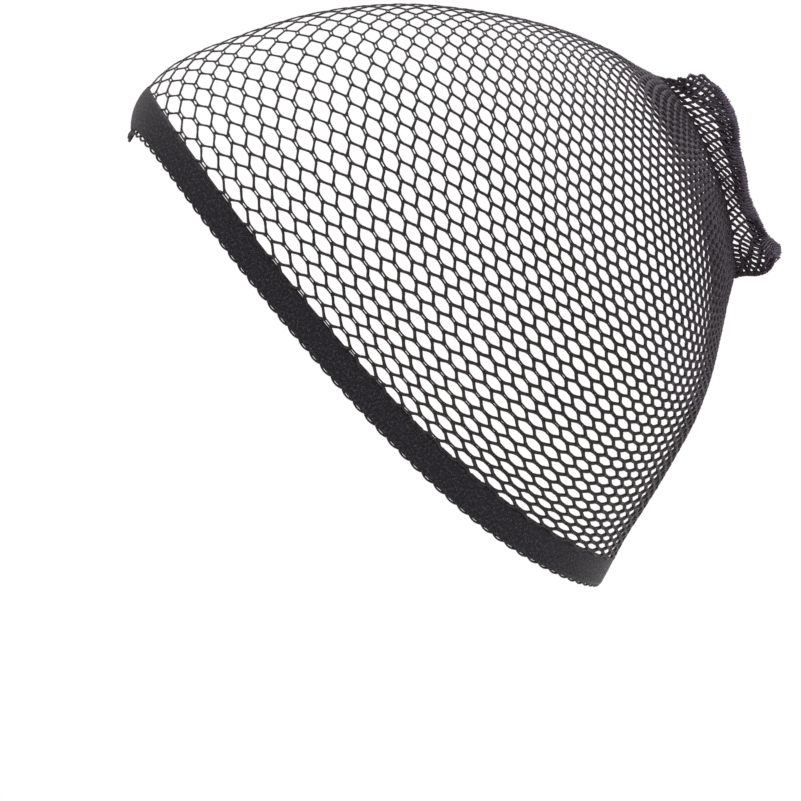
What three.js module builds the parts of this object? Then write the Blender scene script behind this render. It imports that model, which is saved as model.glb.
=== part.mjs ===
// Wig cap of coarse knitted net with a woven elastic band, in the form it takes on a head.
// Lengths are in millimetres. The wearer faces -Y, the wearer's left is +X and +Z is up.
// The origin is on the inside of the crown at its highest place, in the plane that halves the head.

import * as THREE from 'three';

// The hollow that the cap encloses, between the inside faces of the net
const crownLength = 176; // front edge of the net to the back of the head
const crownHeight = 168; // top of the crown to the nape edge of the net
const crownBreadth = 150; // across the head above the ears
const sectionPower = 2.15; // 2 makes each section an ellipse, and more makes it squarer
const bowSpread = 1.5; // more than 1 keeps the bow of a section away from its two ends

// The net
const netWall = 1.2; // thickness of the knitted net
const netRepeats = 10; // pairs of cell columns round the head
const netLevels = 11; // half rows of cells from the hem to the gathers
const gapShare = 0.68; // size of a gap against the size of its cell
const cellPointShare = 0.07; // how far a cell's side points stand out, against its width
const hemWidth = 3; // plain edge of the net along the band
const levelSpread = 1.2; // more than 1 makes the rows taller towards the back of the head
const gatherShare = 0.07; // closely gathered end of the net, against its whole height

// The band
const bandWall = 1.2; // thickness of the woven elastic
const bandWidth = 8.6; // width of the elastic beside the ears, without its loops
const picotPitch = 5; // from one loop of the edge to the next
const picotReach = 1.1; // how far the loops stand past the elastic

// The flattened end of the tube of net, which stands up from the back of the crown
const plySpace = 0.6; // between the two layers of net where they meet
const frillReach = 11; // height above the line where the two layers meet
const frillWall = 2.3; // thickness of both layers together at the free edge
const ruffleDepth = 4.2; // how far the free edge sways to each side
const frillColumns = 16; // columns of cells along the frill
const frillLevels = 5; // half rows of cells up the frill

// The overlocked edge that closes the tube
const seamRadius = 1.35; // half the thickness of the rolled edge
const seamSides = 8; // sides of its section, an even number
const seamSteps = 54; // steps along its length
const seamClearance = 1.35; // from the frill's cloth to the rolled edge, square to the edge

const fitGap = 0.4; // kept between pieces that are sewn together

// One section of the net for each row, from the band (height 0) to the gathers (height 1).
// front and back are the places on the centre line, as shares of crownLength and crownHeight.
// half is the greatest half width as a share of crownBreadth, and bow is how far the middle
// of the section hangs towards the face, as a share of crownHeight. skew moves the lowest part
// of the bow towards the nape.
const sections = [
  { height: 0.0, frontY: -0.442, frontZ: -0.149, backY: 0.358, backZ: -1.0, half: 0.482, bow: 0.077, skew: 0.4 },
  { height: 0.04, frontY: -0.405, frontZ: -0.1135, backY: 0.366, backZ: -0.983, half: 0.488, bow: 0.075, skew: 0.39 },
  { height: 0.1, frontY: -0.339, frontZ: -0.078, backY: 0.38, backZ: -0.957, half: 0.495, bow: 0.072, skew: 0.38 },
  { height: 0.25, frontY: -0.172, frontZ: -0.02, backY: 0.422, backZ: -0.889, half: 0.498, bow: 0.057, skew: 0.3 },
  { height: 0.4, frontY: -0.016, frontZ: 0.0, backY: 0.461, backZ: -0.82, half: 0.478, bow: 0.042, skew: 0.2 },
  { height: 0.55, frontY: 0.127, frontZ: -0.0125, backY: 0.497, backZ: -0.75, half: 0.438, bow: 0.024, skew: 0.1 },
  { height: 0.7, frontY: 0.25, frontZ: -0.04, backY: 0.524, backZ: -0.675, half: 0.375, bow: 0.004, skew: 0.0 },
  { height: 0.85, frontY: 0.351, frontZ: -0.082, backY: 0.543, backZ: -0.59, half: 0.265, bow: -0.018, skew: 0.0 },
  { height: 0.93, frontY: 0.4, frontZ: -0.113, backY: 0.552, backZ: -0.541, half: 0.155, bow: -0.031, skew: 0.0 },
  { height: 1.0, frontY: 0.434, frontZ: -0.134, backY: 0.56, backZ: -0.496, half: 0.0, bow: -0.042, skew: 0.0 },
];

// The band from the forehead (turn 0) to the nape (turn 0.5). width is a share of bandWidth,
// and tuck is the angle in degrees that the band turns in over its own width.
const bandForm = [
  { turn: 0.0, width: 1.75, tuck: 54 },
  { turn: 0.035, width: 1.3, tuck: 36 },
  { turn: 0.08, width: 1.04, tuck: 16 },
  { turn: 0.15, width: 1.0, tuck: 6 },
  { turn: 0.3, width: 1.06, tuck: 4 },
  { turn: 0.38, width: 1.13, tuck: 4 },
  { turn: 0.45, width: 1.08, tuck: 4 },
  { turn: 0.5, width: 1.0, tuck: 4 },
];

// The frill, from its upper end (place 0) to its lower end (place 1). along is where the free
// edge lies down the line where the layers meet, as a share of that line, out is its height as
// a share of frillReach, sway is a share of ruffleDepth to the side, and droop pushes the middle
// of the frill down the line.
const frillForm = [
  { place: 0.0, along: 0.13, out: 0.88, sway: 0.3, droop: -0.025 },
  { place: 0.1, along: 0.22, out: 1.03, sway: 0.6, droop: -0.01 },
  { place: 0.22, along: 0.33, out: 1.03, sway: -0.55, droop: 0.0 },
  { place: 0.34, along: 0.44, out: 0.85, sway: -0.8, droop: 0.0 },
  { place: 0.46, along: 0.55, out: 0.78, sway: 0.55, droop: 0.0 },
  { place: 0.58, along: 0.67, out: 0.65, sway: 0.9, droop: 0.0 },
  { place: 0.7, along: 0.78, out: 0.7, sway: -0.5, droop: 0.0 },
  { place: 0.82, along: 0.88, out: 0.77, sway: -1.0, droop: 0.01 },
  { place: 0.92, along: 0.94, out: 0.96, sway: 0.2, droop: 0.03 },
  { place: 1.0, along: 0.98, out: 0.83, sway: 0.7, droop: 0.045 },
];

// Smooth reading of one column of a table at a place between its rows
function readTable(table, key, column, place) {
  const last = table.length - 1;
  let row = 0;
  while (row < last - 1 && place > table[row + 1][key]) {
    row += 1;
  }
  const slope = (i) => {
    const before = Math.max(i - 1, 0);
    const after = Math.min(i + 1, last);
    return (table[after][column] - table[before][column]) / (table[after][key] - table[before][key]);
  };
  const span = table[row + 1][key] - table[row][key];
  const t = (place - table[row][key]) / span;
  const rise = table[row + 1][column] - table[row][column];
  const startLift = slope(row) * span - rise;
  const endLift = rise - slope(row + 1) * span;
  return table[row][column] + rise * t + t * (1 - t) * (startLift * (1 - t) + endLift * t);
}

// Half of a section, from the forehead round the wearer's left side to the nape
const sectionSamples = 240;
const sectionCache = new Map();

function halfSection(height) {
  if (sectionCache.has(height)) {
    return sectionCache.get(height);
  }
  const read = (column) => readTable(sections, 'height', column, height);
  const front = new THREE.Vector3(0, read('frontY') * crownLength, read('frontZ') * crownHeight);
  const back = new THREE.Vector3(0, read('backY') * crownLength, read('backZ') * crownHeight);
  const middle = front.clone().add(back).multiplyScalar(0.5);
  const reach = back.clone().sub(front).multiplyScalar(0.5);
  const upward = new THREE.Vector3(1, 0, 0).cross(reach).normalize();
  const halfWidth = Math.max(read('half'), 0) * crownBreadth + plySpace / 2;
  const bow = read('bow') * crownHeight;
  const skew = read('skew');
  const power = 2 / sectionPower;
  const points = [];
  const distance = [0];
  for (let i = 0; i <= sectionSamples; i += 1) {
    const angle = (Math.PI * i) / sectionSamples;
    const sine = Math.sin(angle);
    const along = -Math.sign(Math.cos(angle)) * Math.abs(Math.cos(angle)) ** power;
    const point = middle.clone().addScaledVector(reach, along);
    point.addScaledVector(upward, -bow * sine ** bowSpread * (1 + skew * along));
    point.x = i === sectionSamples ? 0 : halfWidth * sine ** power;
    if (i > 0) {
      distance.push(distance[i - 1] + point.distanceTo(points[i - 1]));
    }
    points.push(point);
  }
  const section = { points, distance, length: distance[sectionSamples] };
  sectionCache.set(height, section);
  return section;
}

// A place on the inside face of the net. turn runs from 0 at the forehead by the left side
// to 0.5 at the nape and by the right side back to 1.
function insidePoint(turn, height) {
  const around = turn - Math.floor(turn);
  const section = halfSection(height);
  const wanted = 2 * Math.min(around, 1 - around) * section.length;
  let low = 0;
  let high = sectionSamples;
  while (high - low > 1) {
    const half = (low + high) >> 1;
    if (section.distance[half] <= wanted) {
      low = half;
    } else {
      high = half;
    }
  }
  const share = (wanted - section.distance[low]) / (section.distance[high] - section.distance[low]);
  const point = section.points[low].clone().lerp(section.points[high], share);
  point.x *= around > 0.5 ? -1 : 1;
  return point;
}

// The directions at a place on the net: round the head, up the net and out of it
function directions(turn, height) {
  const turnStep = 0.003;
  const heightStep = 0.004;
  const lower = Math.max(height - heightStep, 0);
  const upper = Math.min(height + heightStep, 1);
  const round = insidePoint(turn + turnStep, height).sub(insidePoint(turn - turnStep, height)).normalize();
  const rise = insidePoint(turn, upper).sub(insidePoint(turn, lower)).normalize();
  const out = round.clone().cross(rise).normalize();
  const up = out.clone().cross(round).normalize();
  return { round, up, out };
}

function netCorner(turn, height) {
  const inner = insidePoint(turn, height);
  const outer = inner.clone().addScaledVector(directions(turn, height).out, netWall);
  return { inner, outer };
}

// A place on the band, at a distance below the edge of the net
function bandCorner(turn, below) {
  const around = turn - Math.floor(turn);
  const place = Math.min(around, 1 - around);
  const width = readTable(bandForm, 'turn', 'width', place) * bandWidth;
  const tuck = THREE.MathUtils.degToRad(readTable(bandForm, 'turn', 'tuck', place));
  const { up, out } = directions(turn, 0);
  const angle = (tuck * below) / width;
  const bend = width / tuck;
  const inner = insidePoint(turn, 0);
  inner.addScaledVector(up, -bend * Math.sin(angle));
  inner.addScaledVector(out, -bend * (1 - Math.cos(angle)));
  const facing = out.clone().multiplyScalar(Math.cos(angle)).addScaledVector(up, -Math.sin(angle));
  const outer = inner.clone().addScaledVector(facing, bandWall);
  return { inner, outer, width };
}

// A closed solid from a patch of cloth: each corner has a place on both faces of the cloth
function clothGeometry(corners, faces) {
  const position = [];
  corners.forEach(({ inner, outer }) => position.push(...inner.toArray(), ...outer.toArray()));
  const index = [];
  const edges = new Set();
  faces.forEach((face) => {
    const [a, b, c] = face;
    index.push(2 * a + 1, 2 * b + 1, 2 * c + 1, 2 * c, 2 * b, 2 * a);
    face.forEach((start, i) => edges.add(`${start} ${face[(i + 1) % 3]}`));
  });
  edges.forEach((edge) => {
    const [start, end] = edge.split(' ').map(Number);
    if (!edges.has(`${end} ${start}`)) {
      index.push(2 * end + 1, 2 * start + 1, 2 * start, 2 * end + 1, 2 * start, 2 * end);
    }
  });
  const geometry = new THREE.BufferGeometry();
  geometry.setAttribute('position', new THREE.Float32BufferAttribute(position, 3));
  geometry.setIndex(index);
  const flat = geometry.toNonIndexed();
  flat.computeVertexNormals();
  return flat;
}

// A net of staggered six-sided cells over a patch. Columns run round and levels run up, each
// cell is two levels tall, and neighbouring columns are one level out of step.
function netPatch({ columns, levels, closed, cornerAt, isOpen }) {
  const corners = [];
  const faces = [];
  const known = new Map();
  const place = (across, level) => {
    const boundary = Math.round(across);
    const edge = !closed && (boundary === 0 || boundary === columns);
    const onBoundary = across === boundary && !edge;
    const side = (boundary + level) % 2 === 0 ? 1 : -1;
    return [(across + (onBoundary ? side * cellPointShare : 0)) / columns, level / levels];
  };
  const cornerIndex = (across, level) => {
    const wrapped = closed ? across % columns : across;
    const name = `${wrapped} ${level}`;
    if (!known.has(name)) {
      known.set(name, corners.length);
      corners.push(cornerAt(...place(wrapped, level)));
    }
    return known.get(name);
  };
  for (let column = 0; column < columns; column += 1) {
    let low = 0;
    while (low < levels) {
      const firstHalf = column % 2 === 1 && low === 0;
      const high = Math.min(low + (firstHalf ? 1 : 2), levels);
      const outline = [[column, low], [column + 0.5, low], [column + 1, low]];
      if (high - low === 2) {
        outline.push([column + 1, low + 1]);
      }
      outline.push([column + 1, high], [column + 0.5, high], [column, high]);
      if (high - low === 2) {
        outline.push([column, low + 1]);
      }
      const ring = outline.map(([across, level]) => cornerIndex(across, level));
      const count = ring.length;
      const centre = [(column + 0.5) / columns, (low + high) / 2 / levels];
      if (isOpen(column, low, high)) {
        const hole = outline.map(([across, level]) => {
          const [s, t] = place(across, level);
          const gapS = centre[0] + (s - centre[0]) * gapShare;
          const gapT = centre[1] + (t - centre[1]) * gapShare;
          return corners.push(cornerAt(gapS, gapT)) - 1;
        });
        for (let i = 0; i < count; i += 1) {
          const next = (i + 1) % count;
          faces.push([ring[i], ring[next], hole[next]], [ring[i], hole[next], hole[i]]);
        }
      } else {
        const middle = corners.push(cornerAt(...centre)) - 1;
        for (let i = 0; i < count; i += 1) {
          faces.push([ring[i], ring[(i + 1) % count], middle]);
        }
      }
      low = high;
    }
  }
  return { corners, faces, cornerIndex };
}

// The crown: the net from its hem at the band to its gathers at the back of the head
function crownNetGeometry() {
  const columns = 2 * netRepeats;
  const hemShare = hemWidth / crownHeight;
  const heightAt = (level) => hemShare + level ** levelSpread * (1 - gatherShare - hemShare);
  const isOpen = (column, low, high) => high < netLevels || high - low === 2;
  const cornerAt = (turn, level) => netCorner(turn, heightAt(level));
  const net = netPatch({ columns, levels: netLevels, closed: true, cornerAt, isOpen });
  const { corners, faces, cornerIndex } = net;
  const rimSteps = 2;
  const turnAt = (step) => step / (2 * columns);
  const addRing = (height, steps) => {
    const first = corners.length;
    for (let i = 0; i < 2 * columns * steps; i += 1) {
      corners.push(netCorner(turnAt(i / steps), height));
    }
    return first;
  };
  const hem = addRing(0, rimSteps);
  const gathers = addRing(1, rimSteps);
  const ringSize = 2 * columns * rimSteps;
  for (let step = 0; step < 2 * columns; step += 1) {
    const low = [cornerIndex(step / 2, 0), cornerIndex((step + 1) / 2, 0)];
    const high = [cornerIndex(step / 2, netLevels), cornerIndex((step + 1) / 2, netLevels)];
    for (let i = 0; i < rimSteps; i += 1) {
      const here = step * rimSteps + i;
      const next = (here + 1) % ringSize;
      const nearest = i < rimSteps / 2 ? 0 : 1;
      faces.push([hem + here, hem + next, low[nearest]]);
      faces.push([gathers + next, gathers + here, high[nearest]]);
    }
    const turning = step * rimSteps + Math.ceil(rimSteps / 2);
    faces.push([low[0], hem + turning, low[1]]);
    faces.push([high[1], gathers + turning, high[0]]);
  }
  return clothGeometry(corners, faces);
}

// The woven elastic band, with a lower edge of small loops drawn as points
function elasticBandGeometry() {
  const bandLength = 2 * halfSection(0).length;
  const loops = Math.round(bandLength / picotPitch);
  const columns = 2 * loops;
  const corners = [];
  const faces = [];
  for (let column = 0; column < columns; column += 1) {
    const turn = column / columns;
    const { width } = bandCorner(turn, 0);
    const foot = width + (column % 2 === 0 ? picotReach : 0);
    corners.push(bandCorner(turn, foot), bandCorner(turn, width / 2), bandCorner(turn, fitGap));
  }
  for (let column = 0; column < columns; column += 1) {
    const here = 3 * column;
    const next = 3 * ((column + 1) % columns);
    for (let row = 0; row < 2; row += 1) {
      faces.push([here + row, next + row, next + row + 1]);
      faces.push([here + row, next + row + 1, here + row + 1]);
    }
  }
  return clothGeometry(corners, faces);
}

const footLift = 2.2; // the frill starts this far outside the line where the layers meet
const droopScale = 27 / 4; // makes droop the greatest push, which comes two thirds of the way up
const ruffleOnset = 1.4; // the sway grows with this power of the height

// A place on the middle of the frill. place runs down the frill, rise runs from the line where
// the two layers meet to the free edge.
function frillPoint(place, rise) {
  const read = (column) => readTable(frillForm, 'place', column, place);
  const upperEnd = insidePoint(0, 1);
  const lowerEnd = insidePoint(0.5, 1);
  const line = lowerEnd.clone().sub(upperEnd);
  const outward = new THREE.Vector3(1, 0, 0).cross(line).normalize();
  const crest = insidePoint(0.25, 1).sub(upperEnd).dot(outward);
  const foot = insidePoint(place / 2, 1).setX(0).addScaledVector(outward, footLift);
  const edge = upperEnd.clone().addScaledVector(line, read('along'));
  edge.addScaledVector(outward, crest + read('out') * frillReach);
  const point = foot.lerp(edge, rise);
  point.addScaledVector(line, read('droop') * droopScale * rise ** 2 * (1 - rise));
  point.x = read('sway') * ruffleDepth * rise ** ruffleOnset;
  return point;
}

function frillNormal(place, rise) {
  const step = 0.01;
  const down = frillPoint(Math.min(place + step, 1), rise).sub(frillPoint(Math.max(place - step, 0), rise));
  const out = frillPoint(place, Math.min(rise + step, 1)).sub(frillPoint(place, Math.max(rise - step, 0)));
  return down.cross(out).normalize();
}

// The rolled edge sits round the free edge, so the frill stops short of it by this share
function edgeShare(place) {
  const step = 0.01;
  const before = frillPoint(Math.max(place - step, 0), 1);
  const edgeLine = frillPoint(Math.min(place + step, 1), 1).sub(before).normalize();
  const ray = frillPoint(place, 1).sub(frillPoint(place, 0));
  const across = ray.addScaledVector(edgeLine, -ray.dot(edgeLine)).length();
  return (seamRadius + seamClearance) / across;
}

function gatheredFrillGeometry() {
  const footWall = plySpace + 2 * netWall;
  const cornerAt = (place, level) => {
    const rise = level * (1 - edgeShare(place));
    const centre = frillPoint(place, rise);
    const normal = frillNormal(place, rise);
    const half = (footWall + (frillWall - footWall) * level) / 2;
    const inner = centre.clone().addScaledVector(normal, -half);
    const outer = centre.clone().addScaledVector(normal, half);
    return { inner, outer };
  };
  const inField = (column) => column > 1 && column < frillColumns - 1;
  const isOpen = (column, low, high) => low === 1 + (column + 1) % 2 && high - low === 2 && inField(column);
  const patch = { columns: frillColumns, levels: frillLevels, closed: false, cornerAt, isOpen };
  const { corners, faces } = netPatch(patch);
  return clothGeometry(corners, faces);
}

// The rolled and overlocked edge that runs along the free edge of the frill
function endSeamGeometry() {
  const route = [];
  const routePoints = 28;
  for (let i = 0; i <= routePoints; i += 1) {
    route.push(frillPoint(i / routePoints, 1));
  }
  const section = new THREE.Shape();
  section.absarc(0, 0, seamRadius, 0, 2 * Math.PI, false);
  return new THREE.ExtrudeGeometry(section, {
    steps: seamSteps,
    curveSegments: seamSides / 2,
    bevelEnabled: false,
    extrudePath: new THREE.CatmullRomCurve3(route),
  });
}

// Each piece is one named mesh with its own finish
function piece(name, geometry, color, roughness) {
  const material = new THREE.MeshStandardMaterial({ color, roughness, metalness: 0, flatShading: true });
  const mesh = new THREE.Mesh(geometry, material);
  mesh.name = name;
  return mesh;
}

const wigCap = new THREE.Group();
wigCap.add(
  piece('crown_net', crownNetGeometry(), 0x2a252c, 0.8),
  piece('elastic_band', elasticBandGeometry(), 0x1f1c22, 0.75),
  piece('gathered_frill', gatheredFrillGeometry(), 0x2d2830, 0.85),
  piece('end_seam', endSeamGeometry(), 0x242028, 0.8),
);

export default wigCap;
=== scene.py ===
# A black wig cap: knitted net with a woven elastic band, in its worn form.
# Lengths are in metres in the CAD frame: +Z up, -Y towards the cap's front, +X towards its left.

import math

import bmesh
import bpy
import numpy as np
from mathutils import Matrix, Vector


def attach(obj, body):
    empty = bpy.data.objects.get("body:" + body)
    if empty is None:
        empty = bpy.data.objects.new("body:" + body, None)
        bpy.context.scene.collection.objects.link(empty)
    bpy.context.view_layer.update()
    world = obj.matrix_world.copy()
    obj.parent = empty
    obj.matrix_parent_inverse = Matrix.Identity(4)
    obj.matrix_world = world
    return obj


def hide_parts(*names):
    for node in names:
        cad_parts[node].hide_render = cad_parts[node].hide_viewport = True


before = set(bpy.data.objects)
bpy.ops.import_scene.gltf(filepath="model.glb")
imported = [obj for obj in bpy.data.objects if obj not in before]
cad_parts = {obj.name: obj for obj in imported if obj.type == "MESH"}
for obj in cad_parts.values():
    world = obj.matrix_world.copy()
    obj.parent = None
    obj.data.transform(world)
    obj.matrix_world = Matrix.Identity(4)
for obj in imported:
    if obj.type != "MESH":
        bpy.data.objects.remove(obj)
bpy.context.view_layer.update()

# The same named sizes as the CAD source

CROWN_LENGTH = 0.176
CROWN_HEIGHT = 0.168
CROWN_BREADTH = 0.150
SECTION_POWER = 2.15
BOW_SPREAD = 1.5
BAND_WALL = 0.0012
BAND_WIDTH = 0.0086
PLY_SPACE = 0.0006
FRILL_REACH = 0.011
RUFFLE_DEPTH = 0.0042
RUFFLE_ONSET = 1.4
FOOT_LIFT = 0.0022
DROOP_SCALE = 27 / 4

# One section of the net for each entry, from the band (height 0) to the gathers (height 1)
SECTIONS = {
    "height": [0.0, 0.04, 0.1, 0.25, 0.4, 0.55, 0.7, 0.85, 0.93, 1.0],
    "front_y": [-0.442, -0.405, -0.339, -0.172, -0.016, 0.127, 0.25, 0.351, 0.4, 0.434],
    "front_z": [-0.149, -0.1135, -0.078, -0.02, 0.0, -0.0125, -0.04, -0.082, -0.113, -0.134],
    "back_y": [0.358, 0.366, 0.38, 0.422, 0.461, 0.497, 0.524, 0.543, 0.552, 0.56],
    "back_z": [-1.0, -0.983, -0.957, -0.889, -0.82, -0.75, -0.675, -0.59, -0.541, -0.496],
    "half": [0.482, 0.488, 0.495, 0.498, 0.478, 0.438, 0.375, 0.265, 0.155, 0.0],
    "bow": [0.077, 0.075, 0.072, 0.057, 0.042, 0.024, 0.004, -0.018, -0.031, -0.042],
    "skew": [0.4, 0.39, 0.38, 0.3, 0.2, 0.1, 0.0, 0.0, 0.0, 0.0],
}

# The band from the front (turn 0) to the nape (turn 0.5), with tuck in degrees
BAND_FORM = {
    "turn": [0.0, 0.035, 0.08, 0.15, 0.3, 0.38, 0.45, 0.5],
    "width": [1.75, 1.3, 1.04, 1.0, 1.06, 1.13, 1.08, 1.0],
    "tuck": [54, 36, 16, 6, 4, 4, 4, 4],
}

# The frill from its upper end (place 0) to its lower end (place 1)
FRILL_FORM = {
    "place": [0.0, 0.1, 0.22, 0.34, 0.46, 0.58, 0.7, 0.82, 0.92, 1.0],
    "along": [0.13, 0.22, 0.33, 0.44, 0.55, 0.67, 0.78, 0.88, 0.94, 0.98],
    "out": [0.88, 1.03, 1.03, 0.85, 0.78, 0.65, 0.7, 0.77, 0.96, 0.83],
    "sway": [0.3, 0.6, -0.55, -0.8, 0.55, 0.9, -0.5, -1.0, 0.2, 0.7],
    "droop": [-0.025, -0.01, 0.0, 0.0, 0.0, 0.0, 0.0, 0.01, 0.03, 0.045],
}

# The real net's own stitches. A row is one cell tall, and a cell is one repeat long.
NET_REPEATS = 44
CROWN_ROWS = 38
FRILL_ROWS = 3
FOOT_RISE = -0.2  # the net leaves the crown this share of the reach below the foot of the frill
YARN_LIFT = 0.0009  # the yarn's middle stands this far off the inside face
PLY_HALF = 0.0009  # each layer of the frill stands this far off its middle
FOLD_ROUNDNESS = 0.5  # how suddenly the two layers close up at the ends, where the tube folds
END_ROWS = 3.0  # so many more rows stand on the frill at its upper end, where the tube is tucked
TIP_ROWS = 5.0  # and at its lower end
END_SPREAD = 0.06  # as a share of the cells round the net
TUCK_HEIGHT = 0.0019  # of the tuck of cloth at the frill's upper end
TUCK_SPREAD = 0.035  # its reach to each side, as a share of the cells round the net
TUCK_ROW = CROWN_ROWS + 1.5
TUCK_ROWS = 1.3
TUCK_LEAN = 0.3  # how far it leans back, as a share of its height

# Where the cells lie round the net, which is stretched most at the front
COLUMN_LAY = {
    "share": [0.0, 0.0625, 0.125, 0.1875, 0.25, 0.3125, 0.375, 0.4375, 0.5],
    "turn": [0.0, 0.069, 0.138, 0.202, 0.2615, 0.3205, 0.382, 0.4415, 0.5],
}

# How high each row of cells lies up the net, at five even shares of the way to the nape
ROW_LAY = {
    "row": [0, 5, 10, 15, 20, 25, 30, 34, 38],
    "front": [0.0, 0.137, 0.302, 0.46, 0.604, 0.743, 0.87, 0.942, 1.0],
    "temple": [0.0, 0.138, 0.296, 0.459, 0.61, 0.745, 0.869, 0.941, 1.0],
    "ear": [0.0, 0.138, 0.284, 0.439, 0.59, 0.743, 0.867, 0.94, 1.0],
    "behind_ear": [0.0, 0.141, 0.293, 0.461, 0.618, 0.765, 0.881, 0.948, 1.0],
    "nape": [0.0, 0.152, 0.32, 0.494, 0.648, 0.776, 0.886, 0.95, 1.0],
}

# Yarn by where it lies round the net. A pillar is two yarns side by side along the band's
# direction: half its length as a share of the repeat, how far its yarns stand off its middle in
# mm, and the thickness of a yarn in mm between the pillars and along them.
YARN_FORM = {
    "turn": [0.0, 0.1, 0.2, 0.3, 0.4, 0.5],
    "pillar": [0.095, 0.107, 0.116, 0.124, 0.135, 0.138],
    "apart": [0.5, 0.46, 0.38, 0.33, 0.28, 0.27],
    "thick": [0.5, 0.66, 0.9, 1.05, 1.14, 1.18],
    "thin": [0.44, 0.5, 0.53, 0.58, 0.63, 0.68],
}

# How far out from the crown the frill's two layers lie cell upon cell, as a share of the reach
SLIP_FORM = {
    "place": [0.0, 0.1, 0.2, 0.35, 0.5, 0.65, 0.8, 0.9, 1.0],
    "rise": [0.1, 0.15, 0.5, 0.5, 0.5, 0.5, 0.45, 0.2, -0.1],
}
SLIP_BLEND = 0.15  # the share of the reach over which the right layer slips by half a cell


def read_table(table, key, column, places):
    """Smooth reading of one column at places between the entries of the key column."""
    keys = np.array(table[key], float)
    values = np.array(table[column], float)
    before = np.maximum(np.arange(len(keys)) - 1, 0)
    after = np.minimum(np.arange(len(keys)) + 1, len(keys) - 1)
    slopes = (values[after] - values[before]) / (keys[after] - keys[before])
    low = np.clip(np.searchsorted(keys, places, side="right") - 1, 0, len(keys) - 2)
    span = keys[low + 1] - keys[low]
    t = (places - keys[low]) / span
    rise = values[low + 1] - values[low]
    start_lift = slopes[low] * span - rise
    end_lift = rise - slopes[low + 1] * span
    return values[low] + rise * t + t * (1 - t) * (start_lift * (1 - t) + end_lift * t)


def unit(vectors):
    return vectors / np.linalg.norm(vectors, axis=-1, keepdims=True)


HEIGHT_STEPS = 160
TURN_STEPS = 200
TURN_REACH = 0.003  # a direction is told from two places this far to each side
HEIGHT_REACH = 0.006
FRILL_STEP = 0.01


def half_section(height):
    """Even places on half a section, from the front by the left side to the nape, and its length."""

    def read(column):
        return read_table(SECTIONS, "height", column, np.array(height))

    front = np.array([0, read("front_y") * CROWN_LENGTH, read("front_z") * CROWN_HEIGHT])
    back = np.array([0, read("back_y") * CROWN_LENGTH, read("back_z") * CROWN_HEIGHT])
    middle = (front + back) / 2
    reach = (back - front) / 2
    upward = unit(np.cross([1, 0, 0], reach))
    half = max(float(read("half")), 0) * CROWN_BREADTH + PLY_SPACE / 2
    angle = np.linspace(0, math.pi, 4 * TURN_STEPS + 1)
    sine = np.clip(np.sin(angle), 0, 1)
    along = -np.sign(np.cos(angle)) * np.abs(np.cos(angle)) ** (2 / SECTION_POWER)
    bow = read("bow") * CROWN_HEIGHT * sine**BOW_SPREAD * (1 + read("skew") * along)
    points = middle + along[:, None] * reach - bow[:, None] * upward
    points[:, 0] = half * sine ** (2 / SECTION_POWER)
    distance = np.append(0, np.cumsum(np.linalg.norm(np.diff(points, axis=0), axis=1)))
    even = np.linspace(0, distance[-1], TURN_STEPS + 1)
    return np.stack([np.interp(even, distance, points[:, i]) for i in range(3)], 1), distance[-1]


NET_FORM = [half_section(height) for height in np.linspace(0, 1, HEIGHT_STEPS + 1)]
FORM_POINTS = np.array([points for points, length in NET_FORM])
BAND_LENGTH = 2 * NET_FORM[0][1]


def cap_place(turn, height):
    """Places on the inside face of the net, at turns round it and heights up it."""
    turn, height = np.broadcast_arrays(turn, height)
    around = turn - np.floor(turn)
    across = 2 * np.minimum(around, 1 - around) * TURN_STEPS
    up = height * HEIGHT_STEPS
    i = np.clip(np.floor(up).astype(int), 0, HEIGHT_STEPS - 1)
    j = np.clip(np.floor(across).astype(int), 0, TURN_STEPS - 1)
    u, v = (up - i)[..., None], (across - j)[..., None]
    low = FORM_POINTS[i, j] * (1 - v) + FORM_POINTS[i, j + 1] * v
    high = FORM_POINTS[i + 1, j] * (1 - v) + FORM_POINTS[i + 1, j + 1] * v
    places = low * (1 - u) + high * u
    places[..., 0] *= np.where(around > 0.5, -1, 1)
    return places


def cap_directions(turn, height):
    """Round the net, up it and out of it, at each place."""
    round_net = unit(cap_place(turn + TURN_REACH, height) - cap_place(turn - TURN_REACH, height))
    higher = cap_place(turn, np.minimum(height + HEIGHT_REACH, 1))
    lower = cap_place(turn, np.maximum(height - HEIGHT_REACH, 0))
    out = unit(np.cross(round_net, unit(higher - lower)))
    return round_net, unit(np.cross(out, round_net)), out


def frill_place(place, rise):
    """Places on the middle of the frill, down it and up from where its layers meet."""
    place, rise = np.broadcast_arrays(place, rise)

    def read(column):
        return read_table(FRILL_FORM, "place", column, place)[..., None]

    upper_end = cap_place(np.array(0.0), np.array(1.0))
    line = cap_place(np.array(0.5), np.array(1.0)) - upper_end
    outward = unit(np.cross([1, 0, 0], line))
    crest = (cap_place(np.array(0.25), np.array(1.0)) - upper_end) @ outward
    foot = cap_place(place / 2, np.ones_like(place))
    foot[..., 0] = 0
    foot = foot + outward * FOOT_LIFT
    edge = upper_end + line * read("along") + outward * (crest + read("out") * FRILL_REACH)
    share = rise[..., None]
    droop = line * read("droop") * DROOP_SCALE
    points = foot * (1 - share) + edge * share + droop * share**2 * (1 - share)
    points[..., 0] = read("sway")[..., 0] * RUFFLE_DEPTH * np.abs(rise) ** RUFFLE_ONSET
    return points


def frill_normal(place, rise):
    """Directions square to the frill."""
    below = frill_place(np.minimum(place + FRILL_STEP, 1), rise)
    above = frill_place(np.maximum(place - FRILL_STEP, 0), rise)
    outer = frill_place(place, np.minimum(rise + FRILL_STEP, 1))
    inner = frill_place(place, np.maximum(rise - FRILL_STEP, 0))
    return unit(np.cross(below - above, outer - inner))


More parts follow.
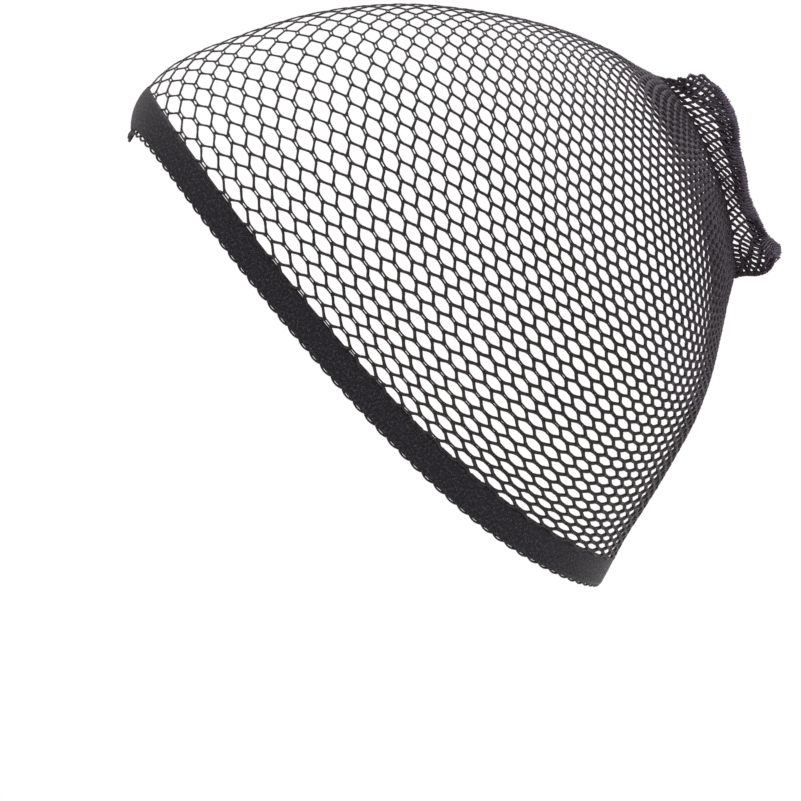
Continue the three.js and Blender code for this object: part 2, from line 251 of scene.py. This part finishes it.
def row_height(folded, row):
    """How high a row lies up the net, read smoothly across the five places of ROW_LAY."""
    places = [name for name in ROW_LAY if name != "row"]
    heights = np.stack([read_table(ROW_LAY, "row", name, row) for name in places])
    across = folded * 2 * (len(places) - 1)
    low = np.clip(np.floor(across).astype(int), 0, len(places) - 2)
    t = across - low
    last = len(places) - 1

    def pick(index):
        return np.take_along_axis(heights, np.abs(index)[None], 0)[0]

    before, start, end = pick(low - 1), pick(low), pick(low + 1)
    after = pick(last - np.abs(last - low - 2))
    start_slope, end_slope = (end - before) / 2, (after - start) / 2
    rise = end - start
    return start + rise * t + t * (1 - t) * ((start_slope - rise) * (1 - t) + (rise - end_slope) * t)


def yarn_place(share, row):
    """Places on the middle of the yarn's surface, over the crown and on over both layers of the frill.
    The share is of the cells round the net, from the front by the left side."""
    around = share - np.floor(share)
    folded = np.minimum(around, 1 - around)
    end_rows = END_ROWS * np.exp(-((folded / END_SPREAD) ** 2))
    tip_rows = TIP_ROWS * np.exp(-(((0.5 - folded) / END_SPREAD) ** 2))
    foot_row = CROWN_ROWS - end_rows - tip_rows
    height = row_height(folded, np.minimum(row, foot_row)) / row_height(folded, foot_row)
    half_turn = read_table(COLUMN_LAY, "share", "turn", folded)
    turn = np.where(around > 0.5, 1 - half_turn, half_turn)
    crown = cap_place(turn, height) + cap_directions(turn, height)[2] * YARN_LIFT
    frill_rows = CROWN_ROWS + FRILL_ROWS - foot_row
    rise = FOOT_RISE + (1 - FOOT_RISE) * np.clip((row - foot_row) / frill_rows, 0, 1)
    is_right = around > 0.5
    # Towards the free edge and both ends the right layer has slipped by half a cell
    slip_from = read_table(SLIP_FORM, "place", "rise", 2 * folded)
    slip = np.where(is_right, np.clip((rise - slip_from) / SLIP_BLEND, 0, 1) * 0.5 / NET_REPEATS, 0)
    place = 2 * np.clip(folded + slip, 0, 0.5)
    fold = np.sin(math.pi * place) ** FOLD_ROUNDNESS
    frill = frill_place(place, rise)
    frill[..., 0] += np.where(is_right, -1, 1) * PLY_HALF * fold
    places = np.where((row > foot_row)[..., None], frill, crown)
    # A tuck of cloth stands up where the tube folds at its upper end
    rows_off = (row - TUCK_ROW) / TUCK_ROWS
    tuck = TUCK_HEIGHT * np.exp(-((folded / TUCK_SPREAD) ** 2) - rows_off**2)
    places[..., 1] += TUCK_LEAN * tuck
    places[..., 2] += tuck
    return places


def as_piece(name, curve, material, body="root", nodes=()):
    """Turns a curve into a mesh piece at the origin that rides on a CAD body."""
    source = bpy.data.objects.new(name + "_line", curve)
    bpy.context.scene.collection.objects.link(source)
    bpy.context.view_layer.update()
    shown = source.evaluated_get(bpy.context.evaluated_depsgraph_get())
    mesh = bpy.data.meshes.new_from_object(shown)
    bpy.data.objects.remove(source)
    bpy.data.curves.remove(curve)
    return add_piece(name, mesh, material, body, nodes)


def add_piece(name, mesh, material, body="root", nodes=()):
    mesh.name = name
    mesh.materials.clear()
    mesh.materials.append(material)
    mesh.polygons.foreach_set("use_smooth", [True] * len(mesh.polygons))
    made = bpy.data.objects.new(name, mesh)
    bpy.context.scene.collection.objects.link(made)
    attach(made, body)
    if nodes:
        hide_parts(*nodes)
    return made


def yarn_curve(name, yarns, sides, closed=False):
    """A curve of round yarns. Each yarn is its points and its radii, and sides is 4, 6 or 8."""
    curve = bpy.data.curves.new(name, "CURVE")
    curve.dimensions = "3D"
    curve.bevel_depth = 1
    curve.bevel_resolution = sides // 2 - 2
    curve.use_fill_caps = not closed
    for points, radii in yarns:
        spline = curve.splines.new("POLY")
        spline.points.add(len(points) - 1)
        spline.points.foreach_set("co", np.append(points, np.ones((len(points), 1)), 1).ravel())
        spline.points.foreach_set("radius", np.array(radii, float))
        spline.use_cyclic_u = closed
    return curve


# Finishes


def colour(hex_value):
    """An sRGB hex colour as linear RGBA."""
    parts = [int(hex_value[i : i + 2], 16) / 255 for i in (1, 3, 5)]
    linear = [c / 12.92 if c <= 0.04045 else ((c + 0.055) / 1.055) ** 2.4 for c in parts]
    return (*linear, 1)


def add_node(material, kind, inputs=None, **settings):
    """Adds a shader node with its settings. An input is a value or another node's output."""
    node = material.node_tree.nodes.new("ShaderNode" + kind)
    for name, value in settings.items():
        setattr(node, name, value)
    for socket, value in (inputs or {}).items():
        if isinstance(value, bpy.types.NodeSocket):
            material.node_tree.links.new(value, node.inputs[socket])
        else:
            node.inputs[socket].default_value = value
    return node


def new_material(name):
    material = bpy.data.materials.new(name)
    material.use_nodes = True
    material.node_tree.nodes.clear()
    return material


def knitted_polyester_yarn(name, dark, light, speck, grain_mm, sheen):
    """Textured polyester yarn wound with elastane, dyed black: matt, a little hairy, with fibres
    that catch the light as small grey and brown specks."""
    material = new_material(name)
    place = add_node(material, "TexCoord").outputs["Object"]
    fibre = add_node(
        material, "TexNoise", {"Vector": place, "Scale": 1000 / grain_mm, "Detail": 3, "Roughness": 0.6}
    )
    tone = add_node(material, "TexNoise", {"Vector": place, "Scale": 45, "Detail": 2})
    shade = add_node(
        material,
        "MixRGB",
        {"Fac": tone.outputs["Fac"], "Color1": colour(dark), "Color2": colour(light)},
    )
    fleck = add_node(material, "ValToRGB", {"Fac": fibre.outputs["Fac"]})
    fleck.color_ramp.elements[0].position = 0.52
    fleck.color_ramp.elements[1].position = 0.72
    base = add_node(
        material,
        "MixRGB",
        {"Fac": fleck.outputs["Color"], "Color1": shade.outputs["Color"], "Color2": colour(speck)},
    )
    bump = add_node(
        material, "Bump", {"Height": fibre.outputs["Fac"], "Strength": 0.5, "Distance": 0.0001}
    )
    shader = add_node(
        material,
        "BsdfPrincipled",
        {
            "Base Color": base.outputs["Color"],
            "Roughness": 0.75,
            "IOR": 1.45,
            "Specular IOR Level": 0.2,
            "Sheen Weight": sheen,
            "Sheen Roughness": 0.4,
            "Sheen Tint": colour("#8a8290"),
            "Normal": bump.outputs["Normal"],
        },
    )
    add_node(material, "OutputMaterial", {"Surface": shader.outputs["BSDF"]})
    return material


def woven_elastic():
    """Narrow-woven elastic, covered rubber cores under a polyester weave, dyed black: matt, with a
    fine grain of crossing threads, ribbed lengthways over the cores."""
    material = new_material("woven_elastic")
    # The piece's own map: u runs along the band and v across it, both in metres
    place = add_node(material, "UVMap", uv_map="band_map").outputs["UV"]
    parts = add_node(material, "SeparateXYZ", {"Vector": place})
    thread_turn = 2 * math.pi / 0.0008  # the weave's threads are 0.8 mm apart
    core_turn = 2 * math.pi / 0.0011  # and its rubber cores 1.1 mm
    along = add_node(material, "Math", {0: parts.outputs["X"], 1: thread_turn}, operation="MULTIPLY")
    across = add_node(material, "Math", {0: parts.outputs["Y"], 1: core_turn}, operation="MULTIPLY")
    thread = add_node(material, "Math", {0: along.outputs[0]}, operation="SINE")
    core = add_node(material, "Math", {0: across.outputs[0]}, operation="SINE")
    crossing = add_node(
        material, "Math", {0: thread.outputs[0], 1: core.outputs[0]}, operation="MULTIPLY"
    )
    fibre = add_node(
        material, "TexNoise", {"Vector": place, "Scale": 1300, "Detail": 3, "Roughness": 0.7}
    )
    relief = add_node(
        material,
        "Math",
        {0: crossing.outputs[0], 1: 0.08, 2: fibre.outputs["Fac"]},
        operation="MULTIPLY_ADD",
    )
    fleck = add_node(material, "ValToRGB", {"Fac": relief.outputs[0]})
    fleck.color_ramp.elements[0].position = 0.5
    fleck.color_ramp.elements[1].position = 0.75
    patch = add_node(material, "TexNoise", {"Vector": place, "Scale": 160, "Detail": 2})
    shade = add_node(
        material,
        "MixRGB",
        {"Fac": patch.outputs["Fac"], "Color1": colour("#040304"), "Color2": colour("#0b090b")},
    )
    base = add_node(
        material,
        "MixRGB",
        {"Fac": fleck.outputs["Color"], "Color1": shade.outputs["Color"], "Color2": colour("#2e2a33")},
    )
    bump = add_node(
        material, "Bump", {"Height": relief.outputs[0], "Strength": 0.7, "Distance": 0.00025}
    )
    shader = add_node(
        material,
        "BsdfPrincipled",
        {
            "Base Color": base.outputs["Color"],
            "Roughness": 0.75,
            "IOR": 1.45,
            "Specular IOR Level": 0.12,
            "Sheen Weight": 0.07,
            "Sheen Roughness": 0.35,
            "Sheen Tint": colour("#a39a9c"),
            "Normal": bump.outputs["Normal"],
        },
    )
    add_node(material, "OutputMaterial", {"Surface": shader.outputs["BSDF"]})
    return material


def plain_ground(name, tone):
    """Seamless studio paper: even and matt, with a faint tooth."""
    material = new_material(name)
    place = add_node(material, "TexCoord").outputs["Object"]
    tooth = add_node(material, "TexNoise", {"Vector": place, "Scale": 400, "Detail": 2})
    bump = add_node(
        material, "Bump", {"Height": tooth.outputs["Fac"], "Strength": 0.05, "Distance": 0.0005}
    )
    shader = add_node(
        material,
        "BsdfPrincipled",
        {"Base Color": colour(tone), "Roughness": 0.9, "Normal": bump.outputs["Normal"]},
    )
    add_node(material, "OutputMaterial", {"Surface": shader.outputs["BSDF"]})
    return material


NET_YARN = knitted_polyester_yarn("knitted_net_yarn", "#0e0a0c", "#191211", "#2e2524", 0.35, 0.12)
# The next two are the same black yarn as knitted_net_yarn in lighter tones: painted sheen and top light
# on the upper crown and on the frill.
PAINTED_LIGHT_NET_YARN = knitted_polyester_yarn("net_yarn_painted_light", "#140f13", "#1d171c", "#3b3138", 0.35, 0.2)
PAINTED_LIGHT_FRILL_YARN = knitted_polyester_yarn("frill_yarn_painted_light", "#1f181f", "#2d242c", "#554953", 0.35, 0.3)
# The seam's rolled edge and threads are the same black yarn made lighter grey: a painted highlight along
# the rim of the frill.
PAINTED_HIGHLIGHT_SEAM_YARN = knitted_polyester_yarn("overlock_thread_painted_highlight", "#2f2830", "#413844", "#6d6370", 0.25, 0.5)
BAND_THREAD = knitted_polyester_yarn("picot_thread", "#0c0a0b", "#151112", "#2c2728", 0.25, 0.12)
BAND_ELASTIC = woven_elastic()


# The knitted net

MM = 0.001
YARN_SIDES = 6
RELAXED_ROW = 31  # from here up the net is less and less stretched
RELAXING_ROWS = 6  # and this many rows further up nothing stretches it
RELAXED_PILLAR = 0.06  # the values of YARN_FORM there
RELAXED_APART = 0.16
RELAXED_THICK = 0.84
RELAXED_THIN = 0.76
GATHER_BULK = 0.75  # the yarn is this much fuller where the net is gathered into the frill
GATHER_ROW = 33  # the middle of the gathers
GATHER_SPREAD = 2.8  # in rows
PILLAR_END_SHARE = 0.85  # thickness at a pillar's ends, as a share of that between pillars
SWELL = 0.05  # how unevenly thick the yarn is
LOOSE_SWELL = 2  # how much more so where it is loose, as a multiple
WANDER_STRETCHED = 0.00003  # how far a stretched yarn strays from its way
WANDER_LOOSE = 0.00008  # and a loose one
HEM_ROW = -0.12  # the net's cut edge is sewn in just under the band's
FIRST_ROW = 0.17  # the middle of the lowest pillars
LAST_ROW = CROWN_ROWS + FRILL_ROWS
ROW_STEP = 0.05  # a yarn's direction is told from two places this far up and down

# A yarn's way along one pillar and on to the next: share of the pillar's half length, share of the
# slant between pillars, and share of the yarn's offset from the pillar's middle
YARN_WAY = [
    (-0.9, -0.09, 0.6),
    (-0.55, 0, 1),
    (0.55, 0, 1),
    (0.9, 0.09, 0.6),
    (1, 0.28, 0.12),
    (1, 0.72, -0.12),
]


def net_yarns(going, first_level, last_level):
    """All the yarns that climb the net one way. At each level a yarn follows a pillar, rounds its
    end and slants up to the next one."""
    levels = np.arange(first_level, last_level + 1)
    rows = FIRST_ROW + levels / 2
    yarns = []
    chance = np.random.default_rng(first_level + 7 * going + 100)
    for start in range(1, 2 * NET_REPEATS, 2):
        middle = (start + going * levels) / (2 * NET_REPEATS)
        around = middle - np.floor(middle)
        turn = read_table(COLUMN_LAY, "share", "turn", np.minimum(around, 1 - around))
        form = {key: read_table(YARN_FORM, "turn", key, turn) for key in YARN_FORM}
        relaxed = np.clip((rows - RELAXED_ROW) / RELAXING_ROWS, 0, 1)
        bulk = 1 + GATHER_BULK * np.exp(-(((rows - GATHER_ROW) / GATHER_SPREAD) ** 2))
        thick = (form["thick"] + (RELAXED_THICK - form["thick"]) * relaxed) * bulk * MM / 2
        thin = (form["thin"] + (RELAXED_THIN - form["thin"]) * relaxed) * bulk * MM / 2
        half = (form["pillar"] + (RELAXED_PILLAR - form["pillar"]) * relaxed) / NET_REPEATS
        reach = 0.5 / NET_REPEATS - 2 * half
        shares = np.stack([middle + going * (half * p + reach * q) for p, q, r in YARN_WAY], 1)
        row_grid = np.stack([rows + 0.5 * q for p, q, r in YARN_WAY], 1)
        points = yarn_place(shares, np.maximum(row_grid, HEM_ROW))
        # Past the seam there is no net, so the yarn's direction there is the one just before it
        inside = np.minimum(row_grid, LAST_ROW - 2 * ROW_STEP)
        ahead = unit(yarn_place(shares, inside + ROW_STEP) - yarn_place(shares, inside - ROW_STEP))
        loosened = form["apart"] + (RELAXED_APART - form["apart"]) * relaxed
        apart = going * loosened[:, None] * MM * np.array([r for p, q, r in YARN_WAY])
        points = points + ahead * apart[..., None]
        end = PILLAR_END_SHARE * thick
        radii = np.stack([end, thin, thin, end, thick, thick], 1)
        # Loose yarn wanders and swells more than stretched yarn
        wander = WANDER_STRETCHED + (WANDER_LOOSE - WANDER_STRETCHED) * relaxed
        points = points + chance.normal(0, 1, points.shape) * wander[:, None, None]
        swell = 1 + LOOSE_SWELL * relaxed[:, None]
        radii = radii * (1 + chance.normal(0, SWELL, radii.shape) * swell)
        yarns.append((points.reshape(-1, 3), radii.ravel()))
    return yarns


# The crown is cut into rings of pieces, each up to one of these levels. A row is two levels.
STRETCHED_LEVEL = 34
CLOSE_LEVEL = 56
TOP_LEVEL = 2 * CROWN_ROWS
END_LEVEL = TOP_LEVEL + 2 * FRILL_ROWS - 1

# The middle and upper rings, and the frill below, wear the yarn copies with painted sheen and top light.
for name, first_level, last_level, yarn in [
    ("lower_yarns", -1, STRETCHED_LEVEL, NET_YARN),
    ("middle_yarns", STRETCHED_LEVEL, CLOSE_LEVEL, PAINTED_LIGHT_NET_YARN),
    ("upper_yarns", CLOSE_LEVEL, TOP_LEVEL, PAINTED_LIGHT_NET_YARN),
]:
    for side, going in [("right", 1), ("left", -1)]:
        piece = name + "_" + side
        yarns = net_yarns(going, first_level, last_level)
        as_piece(piece, yarn_curve(piece, yarns, YARN_SIDES), yarn, nodes=["crown_net"])

frill_yarns = net_yarns(1, TOP_LEVEL, END_LEVEL) + net_yarns(-1, TOP_LEVEL, END_LEVEL)
as_piece(
    "frill_yarns",
    yarn_curve("frill_yarns", frill_yarns, YARN_SIDES),
    PAINTED_LIGHT_FRILL_YARN,
    nodes=["gathered_frill"],
)


# The elastic band

BAND_STEPS = 420
EDGE_REACH = 0.0007  # the elastic itself runs on this far to the feet of the loops
BAND_PROFILE = {
    "below": [0.0, 0.03, 0.12, 0.25, 0.38, 0.5, 0.62, 0.75, 0.88, 0.97, 1.0, 0.97, 0.75, 0.5, 0.25, 0.03],
    "depth": [0.5, 0.92, 1.0, 1.0, 1.0, 1.0, 1.0, 1.0, 1.0, 0.92, 0.5, 0.08, 0.0, 0.0, 0.0, 0.08],
}


def band_place(turn, below_share, depth_share):
    """Places on the band: a share of its width below the net's edge and a share of its thickness."""
    around = turn - np.floor(turn)
    folded = np.minimum(around, 1 - around)
    width = read_table(BAND_FORM, "turn", "width", folded) * BAND_WIDTH
    tuck = np.radians(read_table(BAND_FORM, "turn", "tuck", folded))
    up, out = cap_directions(turn, np.zeros_like(turn))[1:]
    angle = (tuck * below_share)[..., None]
    bend = (width / tuck)[..., None]
    edge = cap_place(turn, np.zeros_like(turn))
    inner = edge - up * bend * np.sin(angle) - out * bend * (1 - np.cos(angle))
    facing = out * np.cos(angle) - up * np.sin(angle)
    return inner + facing * BAND_WALL * depth_share[..., None]


def elastic_band_mesh():
    """A strip with a rounded section, bent round into a ring and closed on itself."""
    around = len(BAND_PROFILE["below"])
    body = bmesh.new()
    bmesh.ops.create_grid(body, x_segments=BAND_STEPS, y_segments=around, size=0.5)
    band_map = body.loops.layers.uv.new("band_map")
    profile = np.array([BAND_PROFILE["below"], BAND_PROFILE["depth"]]).T
    profile = np.append(profile, profile[:1], 0)
    stretches = np.diff(profile, axis=0) * [BAND_WIDTH, BAND_WALL]
    girth = np.append(0, np.cumsum(np.hypot(*stretches.T)))
    flat = np.array([v.co for v in body.verts]) + [0.5, 0.5, 0]
    steps = np.rint(flat[:, 1] * around).astype(int)
    for face in body.faces:
        for loop in face.loops:
            x, y = loop.vert.co.x + 0.5, loop.vert.co.y + 0.5
            loop[band_map].uv = (x * BAND_LENGTH, girth[round(y * around)])
    folded = np.minimum(flat[:, 0], 1 - flat[:, 0])
    width = read_table(BAND_FORM, "turn", "width", folded) * BAND_WIDTH
    places = band_place(flat[:, 0], profile[steps, 0] * (1 + EDGE_REACH / width), profile[steps, 1])
    for vert, place in zip(body.verts, places):
        vert.co = place
    bmesh.ops.remove_doubles(body, verts=body.verts, dist=1e-6)
    bmesh.ops.recalc_face_normals(body, faces=body.faces)
    mesh = bpy.data.meshes.new("elastic_band_weave")
    body.to_mesh(mesh)
    body.free()
    return mesh


add_piece(
    "elastic_band_weave", elastic_band_mesh(), BAND_ELASTIC, nodes=["elastic_band"]
)

PICOT_PITCH = 0.005
PICOT_POINTS = 20
PICOT_REACH = 0.0015  # crest of a loop below the elastic's edge, at the side
PICOT_ROUNDNESS = 0.7  # below 1 a loop is fuller than half a wave
BROW_REACH = 0.0012  # how much further a loop stands at the front
BROW_LEAN = 0.0016  # and how far it leans out there
BROW_SPREAD = 0.05  # in turns
PICOT_THICKNESS = 0.0007


def picot_edge():
    """One thread that hangs in a round scallop at each pitch of the band's lower edge."""
    loops = round(BAND_LENGTH / PICOT_PITCH)
    phase = np.arange(loops * PICOT_POINTS) / PICOT_POINTS
    turn = phase / loops
    folded = np.minimum(turn, 1 - turn)
    brow = np.exp(-((folded / BROW_SPREAD) ** 2))
    reach = PICOT_REACH - EDGE_REACH + BROW_REACH * brow
    width = read_table(BAND_FORM, "turn", "width", folded) * BAND_WIDTH
    scallop = np.abs(np.sin(math.pi * phase)) ** PICOT_ROUNDNESS
    below = 1 + (reach * scallop + EDGE_REACH / 2) / width
    depth = 0.5 + BROW_LEAN * brow * scallop / BAND_WALL
    points = band_place(turn, below, depth)
    return [(points, np.full(len(points), PICOT_THICKNESS / 2))]


picot_curve = yarn_curve("picot_edge", picot_edge(), YARN_SIDES, closed=True)
as_piece("picot_edge", picot_curve, BAND_THREAD)


# The closed end's rolled and overlocked edge

SEAM_STEPS = 120
SEAM_ROLL = 0.0009  # radius of the rolled cloth under the threads
SEAM_TAPER = 0.012  # it thins out over this share of the edge at each end
SEAM_TIP = 0.3
SEAM_SIDES = 8
SEAM_THREAD_RADIUS = 0.00026
WRAPS = 76
WRAP_POINTS = 12
WRAP_REACH = 0.00098  # from the edge's middle to the winding thread's
WRAP_WANDER = 0.00009
WRAP_STEP = 0.004
LOOPER_STITCHES = 50
LOOPER_MARGIN = 0.01  # of the edge's length, left free at each end
LOOPER_RISE = 0.66  # how far up the frill the zigzag's lower corners lie
LOOPER_LIFT = 0.0005  # how far it stands off the layer under it


def rolled_edge():
    """The edge of both layers, rolled over inside the overlock stitches."""
    place = np.linspace(0, 1, SEAM_STEPS)
    points = frill_place(place, np.ones_like(place))
    ends = np.minimum(place, 1 - place)
    radii = SEAM_ROLL * np.clip(ends / SEAM_TAPER, SEAM_TIP, 1) ** 0.5
    return [(points, radii)]


def overlock_wraps():
    """The thread that winds round the rolled edge."""
    turns = np.arange(WRAPS * WRAP_POINTS + 1) / WRAP_POINTS
    place = turns / WRAPS
    edge = np.ones_like(place)
    centre = frill_place(place, edge)
    normal = frill_normal(place, edge)
    ahead = frill_place(np.minimum(place + WRAP_STEP, 1), edge)
    behind = frill_place(np.maximum(place - WRAP_STEP, 0), edge)
    inward = unit(np.cross(normal, ahead - behind))
    angle = (2 * math.pi * turns)[:, None]
    points = centre + WRAP_REACH * (normal * np.cos(angle) + inward * np.sin(angle))
    points = points + np.random.default_rng(3).normal(0, WRAP_WANDER, points.shape)
    return [(points, np.full(len(points), SEAM_THREAD_RADIUS))]


def looper_threads():
    """The zigzag of thread on each face of the frill, between the rolled edge and the cloth."""
    corners = 2 * LOOPER_STITCHES
    place = np.linspace(LOOPER_MARGIN, 1 - LOOPER_MARGIN, corners + 1)
    rise = np.where(np.arange(corners + 1) % 2, LOOPER_RISE, 1.0)
    normal = frill_normal(place, rise)
    # All of them turned to the left face
    normal = normal * np.sign(normal[..., :1] + 1e-12)
    radii = np.full(corners + 1, SEAM_THREAD_RADIUS)
    lift = PLY_HALF + LOOPER_LIFT
    return [(frill_place(place, rise) + normal * side * lift, radii) for side in (1, -1)]


# These seam pieces wear the yarn with the painted highlight.
for name, threads, sides, nodes in [
    ("rolled_edge", rolled_edge(), SEAM_SIDES, ["end_seam"]),
    ("looper_threads", looper_threads(), YARN_SIDES, []),
    ("overlock_wraps", overlock_wraps(), YARN_SIDES, []),
]:
    as_piece(name, yarn_curve(name, threads, sides), PAINTED_HIGHLIGHT_SEAM_YARN, nodes=nodes)


# Floor, light and camera

VIEW_MIDDLE = Vector((0, -0.0014, -0.1204))
VIEW_WIDTH = 0.2451
CAMERA_DISTANCE = 4.0
CAMERA_RANGE = 50
FLOOR_DEPTH = -0.32
FLOOR_HALF = 12  # half the floor's side

floor_body = bmesh.new()
bmesh.ops.create_grid(floor_body, x_segments=1, y_segments=1, size=FLOOR_HALF)
bmesh.ops.translate(floor_body, vec=(0, 0, FLOOR_DEPTH), verts=floor_body.verts)
floor_mesh = bpy.data.meshes.new("studio_floor")
floor_body.to_mesh(floor_mesh)
floor_body.free()
floor_mesh.materials.append(plain_ground("studio_paper", "#ffffff"))
floor = bpy.data.objects.new("studio_floor", floor_mesh)
bpy.context.scene.collection.objects.link(floor)

world = bpy.data.worlds.new("studio_air")
world.use_nodes = True
world.node_tree.nodes["Background"].inputs["Color"].default_value = colour("#ffffff")
world.node_tree.nodes["Background"].inputs["Strength"].default_value = 1.0
bpy.context.scene.world = world
bpy.context.scene.view_settings.view_transform = "Standard"


def soft_light(name, place, size, power):
    data = bpy.data.lights.new(name, "AREA")
    data.shape = "DISK"
    data.size = size
    data.energy = power
    lamp = bpy.data.objects.new(name, data)
    lamp.location = VIEW_MIDDLE + Vector(place)
    lamp.rotation_euler = (-Vector(place)).to_track_quat("-Z", "Y").to_euler()
    bpy.context.scene.collection.objects.link(lamp)


soft_light("key_light", (0.8, -1.1, 0.9), 0.9, 22)
soft_light("fill_light", (1.0, 0.9, 0.5), 1.0, 2)
soft_light("top_light", (-0.3, 0.1, 1.3), 0.8, 50)

# A parallel view, so that the far side of the net falls behind the near side
camera_data = bpy.data.cameras.new("photo_camera")
camera_data.type = "ORTHO"
camera_data.ortho_scale = VIEW_WIDTH
camera_data.clip_end = CAMERA_RANGE
camera = bpy.data.objects.new("photo_camera", camera_data)
camera.location = VIEW_MIDDLE + Vector((CAMERA_DISTANCE, 0, 0))
camera.rotation_euler = (math.pi / 2, 0, math.pi / 2)
bpy.context.scene.collection.objects.link(camera)
bpy.context.scene.camera = camera
